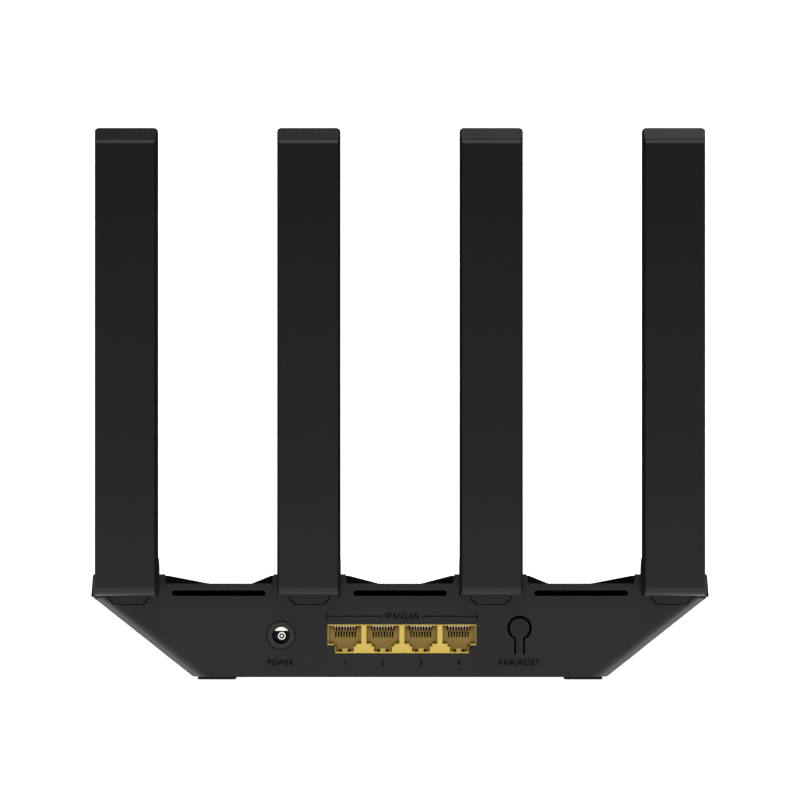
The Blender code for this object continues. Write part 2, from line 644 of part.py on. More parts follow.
def make_button(finishes):
    """The push button on its moulded spring tongue, and the switch behind it."""
    centre, black, yellow = (BUTTON_X, BUTTON_Z), finishes["housing_black"], finishes["port_yellow"]
    button = rod("reset_button", centre, 3.63 * MM, "Y", -64.0 * MM, -62.5 * MM, 28, black)
    tongue = [(-1.27 * MM, TONGUE_Z), (1.27 * MM, TONGUE_Z), (1.27 * MM, BUTTON_Z), (-1.27 * MM, BUTTON_Z)]
    outline = [(BUTTON_X + a, b) for a, b in tongue]
    join(button, prism("tongue", outline, "Y", -63.6 * MM, -62.5 * MM))
    join(button, rod("button_post", centre, 1.4 * MM, "Y", -62.9 * MM, -60.1 * MM, 12))
    x, low = BUTTON_X / MM, ON_BOARD / MM
    body = box("switch_body", (x - 3, -58.5, 16.1), (x + 3, -55.0, 22.1), finishes["chip_black"])
    join(body, box("switch_stand", (x - 3, -56.2, low), (x + 3, -54.6, 17)))
    cut(body, rod("plunger_bore", centre, 2.0 * MM, "Y", -60 * MM, -56.2 * MM, 14))
    rod("switch_plunger", centre, 1.7 * MM, "Y", -59.8 * MM, -57.0 * MM, 14, yellow)


def make_board_parts(finishes):
    """What stands on the circuit board, the light guide over its status light, and the blank label."""
    low = ON_BOARD / MM
    metal = finishes["heat_sink_aluminium"]
    box("processor_chip", (-9, -10, low), (9, 8, 10.1), finishes["chip_black"])
    box("thermal_pad", (-8, -9, 10.4), (8, 7, 11.2), finishes["thermal_grey"])
    sink = box("heat_sink", (-34, -24, 11.5), (34, 20, 13.5), metal)
    for fin in range(11):
        x = -33.4 + fin * 6.53
        join(sink, box(f"fin_{fin}", (x, -24, 13), (x + 1.5, 20, 21.5)))
    box("shield_can_left", (-51, -20, low), (-36, 12, 11.6), finishes["shield_steel"])
    box("shield_can_right", (36, -20, low), (51, 12, 11.6), finishes["shield_steel"])
    box("magnetics_left", (-22, -40, low), (-4, -31, 13.6), finishes["chip_black"])
    box("magnetics_right", (5, -40, low), (23, -31, 13.6), finishes["chip_black"])
    rod("capacitor", (-44.0 * MM, -43.5 * MM), 4.0 * MM, "Z", ON_BOARD, 20 * MM, 20, metal)
    box("status_led", (-1.6, 37, low), (1.6, 39, 9.6), finishes["clear_guide"])
    reach = ((-3.0, 37.2, LIGHT_Z / MM - 0.8), (3.0, FRONT_Y / MM - 0.1, LIGHT_Z / MM + 0.8))
    guide = box("light_guide", (-3.0, 37.2, 9.9), (3.0, 38.8, LIGHT_Z / MM + 0.8), finishes["clear_guide"])
    join(guide, box("guide_reach", *reach))
    box("rating_label", (-30, -20, 0.55), (30, 15, 0.7), finishes["label_white"])


def build():
    clear_scene()
    finishes = make_finishes()
    make_bottom_shell(finishes["housing_black"])
    make_top_cover(finishes["housing_black"])
    make_feet(finishes["foot_rubber"])
    make_screws(finishes["screw_steel"])
    for number, x in enumerate(ANTENNA_X, 1):
        make_antenna(number, x, finishes)
        make_bracket(number, x, finishes["housing_black"])
        make_lead(number, finishes["lead_grey"])
    make_board(finishes["board_green"])
    make_ethernet_block(finishes)
    make_power_jack(finishes)
    make_button(finishes)
    make_board_parts(finishes)


build()
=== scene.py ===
"""The looks of a wireless router with four folding blade antennas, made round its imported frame.

Every place comes from the frame's own nodes, so a piece needs no fitting. Lengths are in metres.
"""

import json  # noqa: E402
import logging  # noqa: E402
import math  # noqa: E402
from dataclasses import dataclass  # noqa: E402
from enum import Enum  # noqa: E402
from typing import Callable, Iterable  # noqa: E402

import bpy  # noqa: E402
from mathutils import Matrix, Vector  # noqa: E402

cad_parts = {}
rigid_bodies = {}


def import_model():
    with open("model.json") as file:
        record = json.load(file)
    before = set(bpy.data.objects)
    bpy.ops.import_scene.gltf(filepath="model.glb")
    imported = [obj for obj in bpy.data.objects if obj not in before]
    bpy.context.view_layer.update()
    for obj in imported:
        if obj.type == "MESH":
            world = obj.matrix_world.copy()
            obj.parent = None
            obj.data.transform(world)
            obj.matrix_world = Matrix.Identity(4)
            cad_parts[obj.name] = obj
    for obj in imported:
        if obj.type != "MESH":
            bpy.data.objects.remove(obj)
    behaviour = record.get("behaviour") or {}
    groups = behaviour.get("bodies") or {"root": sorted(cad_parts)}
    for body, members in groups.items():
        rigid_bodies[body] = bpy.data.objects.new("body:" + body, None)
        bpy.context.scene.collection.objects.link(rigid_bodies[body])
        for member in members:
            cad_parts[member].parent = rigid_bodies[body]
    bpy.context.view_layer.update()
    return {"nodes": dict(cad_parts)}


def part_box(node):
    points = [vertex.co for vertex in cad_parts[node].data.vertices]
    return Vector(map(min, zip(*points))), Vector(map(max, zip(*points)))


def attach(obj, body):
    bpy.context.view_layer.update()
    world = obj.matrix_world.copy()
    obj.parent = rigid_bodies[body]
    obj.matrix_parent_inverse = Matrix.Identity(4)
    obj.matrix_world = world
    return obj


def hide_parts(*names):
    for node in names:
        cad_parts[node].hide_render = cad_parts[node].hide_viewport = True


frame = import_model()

MM = 0.001
DISC_SIDES = 48
SMOOTH_ANGLE = math.radians(45.0)
MERGE_DISTANCE = 0.002 * MM
FLAT_ANGLE = math.radians(0.6)
LOG = logging.getLogger("router")

Point = tuple[float, float, float]
Colour = tuple[float, float, float, float]


class Axis(Enum):
    """A direction of the frame, as an index into a point."""

    X = 0
    Y = 1
    Z = 2


# ------------------------------------------------------------------ modelling helpers


def deselect() -> None:
    """Leaves nothing selected."""
    if bpy.context.mode != "OBJECT":
        bpy.ops.object.mode_set(mode="OBJECT")
    bpy.ops.object.select_all(action="DESELECT")


def take(*pieces: bpy.types.Object) -> None:
    """Selects these pieces alone, the first of them active.

    Args:
        pieces: What the next operators act on.
    """
    deselect()
    for piece in pieces:
        piece.select_set(True)
    bpy.context.view_layer.objects.active = pieces[0]


def settle(piece: bpy.types.Object) -> bpy.types.Object:
    """Puts a piece's place, turn and scale into its mesh.

    Args:
        piece: A mesh object.

    Returns:
        The same object, at the origin.
    """
    take(piece)
    bpy.ops.object.transform_apply(location=True, rotation=True, scale=True)
    return piece


def block(name: str, low: Point, high: Point) -> bpy.types.Object:
    """Adds a cube and stretches it between two corners, as the start of a piece.

    Args:
        name: The piece's name.
        low: Its lowest corner.
        high: Its highest corner.

    Returns:
        The new object, settled.
    """
    deselect()
    middle = (Vector(low) + Vector(high)) / 2
    bpy.ops.mesh.primitive_cube_add(size=1.0, location=middle)
    piece = bpy.context.object
    piece.name = piece.data.name = name
    piece.scale = Vector(high) - Vector(low)
    return settle(piece)


def disc(name: str, centre: Point, radius: float, depth: float) -> bpy.types.Object:
    """Adds a cylinder along Y, as the start of a piece.

    Args:
        name: The piece's name.
        centre: The middle of its near face.
        radius: Its radius.
        depth: How far it reaches towards +Y.

    Returns:
        The new object, settled.
    """
    deselect()
    middle = Vector(centre) + Vector((0.0, depth / 2, 0.0))
    bpy.ops.mesh.primitive_cylinder_add(
        vertices=DISC_SIDES, radius=radius, depth=depth, location=middle, rotation=(math.pi / 2, 0.0, 0.0)
    )
    piece = bpy.context.object
    piece.name = piece.data.name = name
    return settle(piece)


def pick_faces(piece: bpy.types.Object, wanted: Callable[[Vector, Vector], bool]) -> None:
    """Enters edit mode with only the wanted faces selected.

    Args:
        piece: The mesh to edit.
        wanted: Says from a face's centre and normal whether it is wanted.
    """
    take(piece)
    for edge in piece.data.edges:
        edge.select = False
    for vertex in piece.data.vertices:
        vertex.select = False
    for face in piece.data.polygons:
        face.select = wanted(face.center, face.normal)
    bpy.ops.object.mode_set(mode="EDIT")
    bpy.ops.mesh.select_mode(type="FACE")


def pick_edges(piece: bpy.types.Object, wanted: Callable[[Vector, Vector], bool]) -> None:
    """Enters edit mode with only the wanted edges selected.

    Args:
        piece: The mesh to edit.
        wanted: Says from an edge's two ends whether it is wanted.
    """
    take(piece)
    for face in piece.data.polygons:
        face.select = False
    for vertex in piece.data.vertices:
        vertex.select = False
    points = piece.data.vertices
    for edge in piece.data.edges:
        edge.select = wanted(points[edge.vertices[0]].co, points[edge.vertices[1]].co)
    bpy.ops.object.mode_set(mode="EDIT")
    bpy.ops.mesh.select_mode(type="EDGE")


def facing(normal: Vector, axis: Axis, sign: int = 1) -> bool:
    """Whether a normal points along an axis.

    Args:
        normal: A face's normal.
        axis: The axis to compare it with.
        sign: 1 for the axis itself, -1 for its opposite.

    Returns:
        True if it does, within about 8 degrees.
    """
    return normal[axis.value] * sign > 0.99


def apply_modifier(piece: bpy.types.Object, kind: str, **settings: object) -> None:
    """Adds a modifier to a piece and applies it.

    Args:
        piece: The piece to change.
        kind: The modifier's type.
        settings: Its properties.
    """
    take(piece)
    step = piece.modifiers.new(kind.lower(), kind)
    for name, value in settings.items():
        setattr(step, name, value)
    bpy.ops.object.modifier_apply(modifier=step.name)


def round_off(
    piece: bpy.types.Object, width: float, segments: int = 3, angle: float = 32.0
) -> bpy.types.Object:
    """Rounds a piece's sharp edges and shades it smooth.

    Args:
        piece: The piece to round.
        width: The rounding's width.
        segments: How many facets each rounding has.
        angle: Edges sharper than this, in degrees, are rounded.

    Returns:
        The same object.
    """
    apply_modifier(
        piece, "BEVEL", width=width, segments=segments, limit_method="ANGLE",
        angle_limit=math.radians(angle), use_clamp_overlap=True, harden_normals=False,
        miter_outer="MITER_SHARP",
    )
    take(piece)
    bpy.ops.object.shade_smooth_by_angle(angle=SMOOTH_ANGLE)
    apply_modifier(piece, "WEIGHTED_NORMAL", mode="FACE_AREA", weight=100, keep_sharp=True)
    return piece


def weld(piece: bpy.types.Object, other: bpy.types.Object) -> bpy.types.Object:
    """Makes one closed body of a piece and another that overlaps it.

    Args:
        piece: The piece that stays.
        other: The piece that is used up.

    Returns:
        The piece that stays.
    """
    apply_modifier(piece, "BOOLEAN", operation="UNION", object=other, solver="EXACT")
    bpy.data.objects.remove(other)
    return piece


def merged_copy(node: str, name: str) -> bpy.types.Object:
    """Copies a frame node's mesh, with its loose triangles merged back into flat faces.

    Args:
        node: The frame's node.
        name: The new piece's name.

    Returns:
        The new object.
    """
    piece = bpy.data.objects.new(name, frame["nodes"][node].data.copy())
    bpy.context.scene.collection.objects.link(piece)
    piece.data.name = name
    piece.data.materials.clear()
    take(piece)
    bpy.ops.object.mode_set(mode="EDIT")
    bpy.ops.mesh.select_all(action="SELECT")
    bpy.ops.mesh.remove_doubles(threshold=MERGE_DISTANCE)
    bpy.ops.mesh.dissolve_limited(angle_limit=FLAT_ANGLE)
    bpy.ops.mesh.customdata_custom_splitnormals_clear()
    bpy.ops.object.mode_set(mode="OBJECT")
    return piece


def array_along(piece: bpy.types.Object, axis: Axis, pitch: float, count: int) -> bpy.types.Object:
    """Repeats a piece at a steady pitch.

    Args:
        piece: The first copy.
        axis: The direction of the row.
        pitch: The distance from one copy to the next.
        count: How many copies there are in all.

    Returns:
        The same object, holding the whole row.
    """
    offset = [0.0, 0.0, 0.0]
    offset[axis.value] = pitch
    apply_modifier(
        piece, "ARRAY", count=count, use_relative_offset=False, use_constant_offset=True,
        constant_offset_displace=offset, use_merge_vertices=False,
    )
    return piece


def join(name: str, pieces: Iterable[bpy.types.Object]) -> bpy.types.Object:
    """Joins pieces into one object.

    Args:
        name: The joined object's name.
        pieces: The pieces, which are used up.

    Returns:
        The joined object.
    """
    several = list(pieces)
    take(*several)
    if len(several) > 1:
        bpy.ops.object.join()
    joined = bpy.context.view_layer.objects.active
    joined.name = joined.data.name = name
    return joined


def place(piece: bpy.types.Object, body: str, slot: str, finish: bpy.types.Material, *nodes: str) -> None:
    """Gives a finished piece its finish and its body, and hides the nodes that it stands for.

    Args:
        piece: The finished piece.
        body: The body that it moves with.
        slot: The record's material slot; not used.
        finish: Its material.
        nodes: Frame nodes that it replaces.
    """
    piece.data.materials.clear()
    piece.data.materials.append(finish)
    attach(piece, body)
    if nodes:
        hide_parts(*nodes)
    LOG.info("made %s on %s", piece.name, body)


# ------------------------------------------------------------------ finishes


def linear(hex_digits: str) -> Colour:
    """Turns an sRGB hex value into a linear colour.

    Args:
        hex_digits: Six of them, with or without a leading #.

    Returns:
        Red, green, blue and an alpha of 1.
    """
    digits = hex_digits.lstrip("#")
    channels = [int(digits[i : i + 2], 16) / 255 for i in (0, 2, 4)]
    red, green, blue = (c / 12.92 if c <= 0.04045 else ((c + 0.055) / 1.055) ** 2.4 for c in channels)
    return red, green, blue, 1.0


def add_node(
    owner: bpy.types.Material | bpy.types.World,
    kind: str,
    settings: dict[str, object] | None = None,
    inputs: dict[str, object] | None = None,
) -> bpy.types.ShaderNode:
    """Adds a node to a material or a world, with its settings and its inputs.

    Args:
        owner: What gets the node.
        kind: The node's type.
        settings: Properties of the node itself.
        inputs: Input sockets by name: a value, or the output socket that feeds it.

    Returns:
        The new node.
    """
    tree = owner.node_tree
    node = tree.nodes.new(kind)
    for name, value in (settings or {}).items():
        setattr(node, name, value)
    for name, value in (inputs or {}).items():
        if isinstance(value, bpy.types.NodeSocket):
            tree.links.new(value, node.inputs[name])
        else:
            node.inputs[name].default_value = value
    return node


def blank_material(name: str) -> tuple[bpy.types.Material, bpy.types.ShaderNode, bpy.types.NodeSocket]:
    """Makes a material with only a Principled shader in it.

    Args:
        name: The material's name.

    Returns:
        The material, its shader, and the Object coordinates.
    """
    material = bpy.data.materials.new(name)
    material.use_nodes = True
    material.node_tree.nodes.clear()
    shader = add_node(material, "ShaderNodeBsdfPrincipled")
    add_node(material, "ShaderNodeOutputMaterial", inputs={"Surface": shader.outputs["BSDF"]})
    place_in_object = add_node(material, "ShaderNodeTexCoord").outputs["Object"]
    return material, shader, place_in_object


@dataclass(frozen=True)
class MouldedPlastic:
    """Moulded plastic: an even colour, a fine eroded grain and a slow drift of tone.

    A spark-eroded grain is about 0.1 mm across, too fine to show. It is drawn 0.2 to 0.8 mm across. The
    drift is the 9 to 28 mm over which the resin's flow changes its tone.
    """

    name: str
    colour: str
    shade: str
    roughness: float = 0.5
    grain_mm: float = 0.5
    grain_depth_mm: float = 0.02
    drift_mm: float = 28.0
    ior: float = 1.53
    specular: float = 0.5

    def build(self) -> bpy.types.Material:
        """Builds the node tree.

        Returns:
            The finished material.
        """
        material, shader, where = blank_material(self.name)
        drift = add_node(
            material, "ShaderNodeTexNoise",
            inputs={"Vector": where, "Scale": 1 / (self.drift_mm * MM), "Detail": 3.0, "Roughness": 0.5},
        )
        tone = add_node(
            material, "ShaderNodeMix", {"data_type": "RGBA"},
            {"Factor": drift.outputs["Fac"], "A": linear(self.colour), "B": linear(self.shade)},
        )
        grain = add_node(
            material, "ShaderNodeTexNoise",
            inputs={"Vector": where, "Scale": 1 / (self.grain_mm * MM), "Detail": 2.0, "Roughness": 0.6},
        )
        gloss = add_node(
            material, "ShaderNodeMapRange",
            inputs={
                "Value": grain.outputs["Fac"], "From Min": 0.25, "From Max": 0.75,
                "To Min": self.roughness - 0.04, "To Max": self.roughness + 0.05,
            },
        )
        bump = add_node(
            material, "ShaderNodeBump",
            inputs={"Strength": 0.35, "Distance": self.grain_depth_mm * MM, "Height": grain.outputs["Fac"]},
        )
        links = material.node_tree.links
        links.new(tone.outputs["Result"], shader.inputs["Base Color"])
        links.new(gloss.outputs["Result"], shader.inputs["Roughness"])
        links.new(bump.outputs["Normal"], shader.inputs["Normal"])
        shader.inputs["IOR"].default_value = self.ior
        shader.inputs["Specular IOR Level"].default_value = self.specular
        return material


@dataclass(frozen=True)
class PlatedMetal:
    """Drawn or stamped metal with a thin plating: fine lines along the drawing direction.

    Drawing lines are a few hundredths of a millimetre apart. They are drawn 0.12 to 0.3 mm apart.
    """

    name: str
    colour: str
    roughness: float = 0.25
    line_mm: float = 0.12
    line_stretch: tuple[float, float, float] = (1.0, 0.08, 1.0)

    def build(self) -> bpy.types.Material:
        """Builds the node tree.

        Returns:
            The finished material.
        """
        material, shader, where = blank_material(self.name)
        stretched = add_node(
            material, "ShaderNodeMapping", inputs={"Vector": where, "Scale": self.line_stretch}
        )
        lines = add_node(
            material, "ShaderNodeTexNoise",
            inputs={"Vector": stretched.outputs["Vector"], "Scale": 1 / (self.line_mm * MM), "Detail": 3.0},
        )
        gloss = add_node(
            material, "ShaderNodeMapRange",
            inputs={
                "Value": lines.outputs["Fac"], "From Min": 0.3, "From Max": 0.7,
                "To Min": self.roughness * 0.75, "To Max": self.roughness * 1.35,
            },
        )
        bump = add_node(
            material, "ShaderNodeBump",
            inputs={"Strength": 0.25, "Distance": 0.01 * MM, "Height": lines.outputs["Fac"]},
        )
        links = material.node_tree.links
        links.new(gloss.outputs["Result"], shader.inputs["Roughness"])
        links.new(bump.outputs["Normal"], shader.inputs["Normal"])
        shader.inputs["Base Color"].default_value = linear(self.colour)
        shader.inputs["Metallic"].default_value = 1.0
        return material


@dataclass(frozen=True)
class SolderMask:
    """Glass-epoxy board under green solder mask, with the copper tracks showing as paler lines.

    The tracks bound blocks of about 2.4 mm, the size of the smaller parts that they serve.
    """

    name: str = "solder_mask"
    colour: str = "#0F4A2C"
    track: str = "#1C6B42"
    track_mm: float = 2.4

    def build(self) -> bpy.types.Material:
        """Builds the node tree.

        Returns:
            The finished material.
        """
        material, shader, where = blank_material(self.name)
        cells = add_node(
            material, "ShaderNodeTexVoronoi", {"feature": "DISTANCE_TO_EDGE", "distance": "MANHATTAN"},
            {"Vector": where, "Scale": 1 / (self.track_mm * MM)},
        )
        edge = add_node(
            material, "ShaderNodeMapRange",
            inputs={"Value": cells.outputs["Distance"], "From Min": 0.06, "From Max": 0.12},
        )
        tone = add_node(
            material, "ShaderNodeMix", {"data_type": "RGBA"},
            {"Factor": edge.outputs["Result"], "A": linear(self.track), "B": linear(self.colour)},
        )
        material.node_tree.links.new(tone.outputs["Result"], shader.inputs["Base Color"])
        shader.inputs["Roughness"].default_value = 0.38
        shader.inputs["IOR"].default_value = 1.5
        return material


@dataclass(frozen=True)
class ClearPlastic:
    """Smoke-tinted polycarbonate light guide, with the lamp behind it off."""

    name: str = "smoked_polycarbonate"
    colour: str = "#1E2420"

    def build(self) -> bpy.types.Material:
        """Builds the node tree.

        Returns:
            The finished material.
        """
        material, shader, where = blank_material(self.name)
        cloud = add_node(
            material, "ShaderNodeTexNoise", inputs={"Vector": where, "Scale": 1 / (4 * MM), "Detail": 2.0}
        )
        gloss = add_node(
            material, "ShaderNodeMapRange",
            inputs={"Value": cloud.outputs["Fac"], "To Min": 0.08, "To Max": 0.2},
        )
        material.node_tree.links.new(gloss.outputs["Result"], shader.inputs["Roughness"])
        shader.inputs["Base Color"].default_value = linear(self.colour)
        shader.inputs["IOR"].default_value = 1.58
        return material


class Finishes:
    """Every finish of the router, built once."""

    def __init__(self) -> None:
        """Builds the materials."""
        # Styrene blend from a spark-eroded mould: a flat charcoal that scatters its highlights.
        self.housing = MouldedPlastic("moulded_abs_charcoal", "#1C1C1D", "#1A1A1B", specular=0.24).build()
        # The same resin from a smoother mould, with a closer grain; its darker tone is painted shade.
        self.deck = MouldedPlastic(
            "moulded_abs_deck", "#131314", "#111112", 0.5, 0.35, 0.012, specular=0.2
        ).build()
        # The same resin from a satin mould: tighter highlights along the blades' edges.
        self.blade = MouldedPlastic(
            "moulded_abs_satin", "#151516", "#141415", 0.42, 0.4, 0.012, specular=0.26
        ).build()
        # Glass-filled nylon: short fibres leave it dull and slightly uneven.
        self.nylon = MouldedPlastic(
            "glass_filled_nylon", "#1F1F21", "#1C1C1E", 0.45, 0.3, 0.01, specular=0.2
        ).build()
        # Flame-retardant polyester, coloured through: an even, half-matt yellow.
        self.yellow = MouldedPlastic("polyester_yellow", "#CBAE45", "#C4A640", 0.5, 0.3, 0.01, 9.0).build()
        # Pad-printed ink: thin, black and flatter than the plastic round it.
        self.ink = MouldedPlastic(
            "pad_printed_ink", "#020202", "#030303", 0.9, 0.2, 0.004, specular=0.05
        ).build()
        # Painted shade, near black, for the deep chambers behind the contacts and other shaded hollows.
        self.void = MouldedPlastic(
            "contact_chamber_dark", "#140D03", "#0E0802", 0.9, 0.3, 0.01, specular=0.05
        ).build()
        # Moulded silicone: black, with no sheen.
        self.rubber = MouldedPlastic("silicone_rubber", "#0B0B0B", "#111111", 0.8, 0.6, 0.04).build()
        # Transfer-moulded epoxy: a fine even dark grey.
        self.chip = MouldedPlastic("epoxy_moulding_compound", "#18181A", "#141416", 0.55, 0.25, 0.01).build()
        # Filled silicone sheet: pale blue-grey, chalky and coarse.
        self.pad = MouldedPlastic("silicone_gap_filler", "#8A93A0", "#7D8794", 0.85, 0.8, 0.05).build()
        # Extruded fluoropolymer: grey, smooth and a little waxy.
        self.sheath = MouldedPlastic("fluoropolymer_sheath", "#3B3B3E", "#333336", 0.4, 0.5, 0.01).build()
        # Matt polyester film, unprinted: an even off-white.
        self.sticker = MouldedPlastic("matt_polyester_film", "#C9C9C6", "#BFBFBC", 0.5, 0.4, 0.004).build()
        # Stamped bronze under a thin gold flash: warm and half-bright.
        self.contact = PlatedMetal("gold_flashed_bronze", "#EADCCB", 0.5).build()
        # Turned brass under nickel: nearly white, softened by wear.
        self.nickel = PlatedMetal("nickel_plated_brass", "#E4E0DA", 0.4).build()
        # Zinc-plated steel: a cool mid grey.
        self.steel = PlatedMetal("zinc_plated_steel", "#8F9196", 0.35).build()
        # Rolled and tinned sheet: a bright even grey with rolling lines.
        self.tinplate = PlatedMetal("tinned_sheet_steel", "#B9BABC", 0.32, 0.3).build()
        # Extruded aluminium: pale, with lines along the fins.
        self.aluminium = PlatedMetal("extruded_aluminium", "#C3C6CA", 0.36, 0.25, (0.06, 1.0, 1.0)).build()
        # Glass-epoxy board under solder mask: glossy green over faint copper tracks.
        self.board = SolderMask().build()
        # Smoked polycarbonate: dark and glossy while the lamp is off.
        self.clear = ClearPlastic().build()


# ------------------------------------------------------------------ sub-assemblies


@dataclass
class Housing:
    """The pan and the cover, with rounded edges, and the ribs on the cover's three sunk floors."""

    finishes: Finishes
    edge: float = 0.35 * MM
    pitch: float = 66.5 * MM
    recess_half: float = 19.7 * MM
    floor_rear_z: float = 35.3 * MM
    floor_front_z: float = 25.2 * MM
    rib_pitch: float = 1.2 * MM
    rib_foot: float = 0.8 * MM
    rib_crown: float = 0.3 * MM
    rib_height: float = 0.34 * MM
    rib_sunk: float = 0.1 * MM
    rib_end: float = 6 * MM
    side_gap: float = 0.3 * MM

    def build(self) -> None:
        """Builds the pan, the cover and the ribs."""
        self.shell("bottom_shell", "pan_with_port_wall", self.finishes.housing)
        self.shell("top_cover", "ribbed_deck", self.finishes.deck)
        for side, middle in {"left": -self.pitch, "middle": 0.0, "right": self.pitch}.items():
            self.ribs(f"deck_ribs_{side}", middle)

    def shell(self, node: str, name: str, finish: bpy.types.Material) -> None:
        """Rounds the edges of one of the two mouldings.

        Args:
            node: The frame's node.
            name: The new piece's name.
            finish: Its material.
        """
        piece = round_off(merged_copy(node, name), self.edge, 2, 30.0)
        place(piece, "housing", "housing_black", finish, node)

    def ribs(self, name: str, middle: float) -> None:
        """Lays fine ribs from the port wall towards the front edge, ending at the recess's slanted sides.

        Args:
            name: The piece's name.
            middle: The recess's middle, along X.
        """
        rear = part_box("bottom_shell")[0].y
        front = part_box("top_cover")[1].y
        end = front - self.rib_end
        half_count = int(self.recess_half / self.rib_pitch)
        first = middle - half_count * self.rib_pitch
        half_foot, low_z = self.rib_foot / 2, self.floor_rear_z - self.rib_sunk
        rib = block(
            name, (first - half_foot, rear, low_z), (first + half_foot, end, low_z + self.rib_height)
        )
        pick_faces(rib, lambda centre, normal: facing(normal, Axis.Z))
        bpy.ops.transform.resize(value=(self.rib_crown / self.rib_foot, 1.0, 1.0))
        bpy.ops.object.mode_set(mode="OBJECT")
        fall = (self.floor_rear_z - self.floor_front_z) * (end - rear) / (front - rear)
        pick_faces(rib, lambda centre, normal: facing(normal, Axis.Y))
        bpy.ops.transform.translate(value=(0.0, 0.0, -fall))
        bpy.ops.object.mode_set(mode="OBJECT")
        array_along(rib, Axis.X, self.rib_pitch, 2 * half_count + 1)
        half = self.recess_half - self.side_gap
        for sign in (-1, 1):
            take(rib)
            bpy.ops.object.mode_set(mode="EDIT")
            bpy.ops.mesh.select_all(action="SELECT")
            bpy.ops.mesh.bisect(
                plane_co=(middle + sign * half, rear, 0.0),
                plane_no=Vector((sign * (front - rear), half, 0.0)).normalized(),
                use_fill=True,
                clear_outer=True,
            )
            bpy.ops.object.mode_set(mode="OBJECT")
        place(rib, "housing", "housing_black", self.finishes.deck)


@dataclass
class Antenna:
    """One folding blade: its shell, its lid and the bracket that it turns in."""

    finishes: Finishes
    number: int
    edge: float = 0.4 * MM
    lid_edge: float = 0.3 * MM
    arm_edge: float = 0.2 * MM
    brow_drop: float = 5.3 * MM
    brow_reach: float = 1.1 * MM
    brow_radius: float = 0.7 * MM

    def build(self) -> None:
        """Builds the blade, its lid and its bracket."""
        body = f"antenna_{self.number}"
        self.blade(body)
        lid = round_off(merged_copy(f"{body}_front_lid", f"{body}_lid"), self.lid_edge, 2)
        place(lid, body, "antenna_black", self.finishes.blade, f"{body}_front_lid")
        bracket = f"hinge_bracket_{self.number}"
        arm = round_off(merged_copy(bracket, f"hinge_arm_{self.number}"), self.arm_edge, 2)
        place(arm, "housing", "housing_black", self.finishes.housing, bracket)

    def blade(self, body: str) -> None:
        """Rounds the blade, most of all at the brow, where its face turns into its sloped top.

        Args:
            body: The antenna's body.
        """
        shell = merged_copy(f"{body}_rear_shell", f"{body}_blade")
        low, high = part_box(f"{body}_rear_shell")
        brow = high.z - self.brow_drop
        pick_edges(
            shell,
            lambda a, b: abs(a.z - b.z) < 0.1 * MM
            and abs(a.z - brow) < self.brow_reach
            and max(a.y, b.y) < low.y + 1.0 * MM,
        )
        bpy.ops.mesh.bevel(offset=self.brow_radius, segments=4)
        bpy.ops.object.mode_set(mode="OBJECT")
        round_off(shell, self.edge, 3, 33.0)
        place(shell, body, "antenna_black", self.finishes.blade, f"{body}_rear_shell")


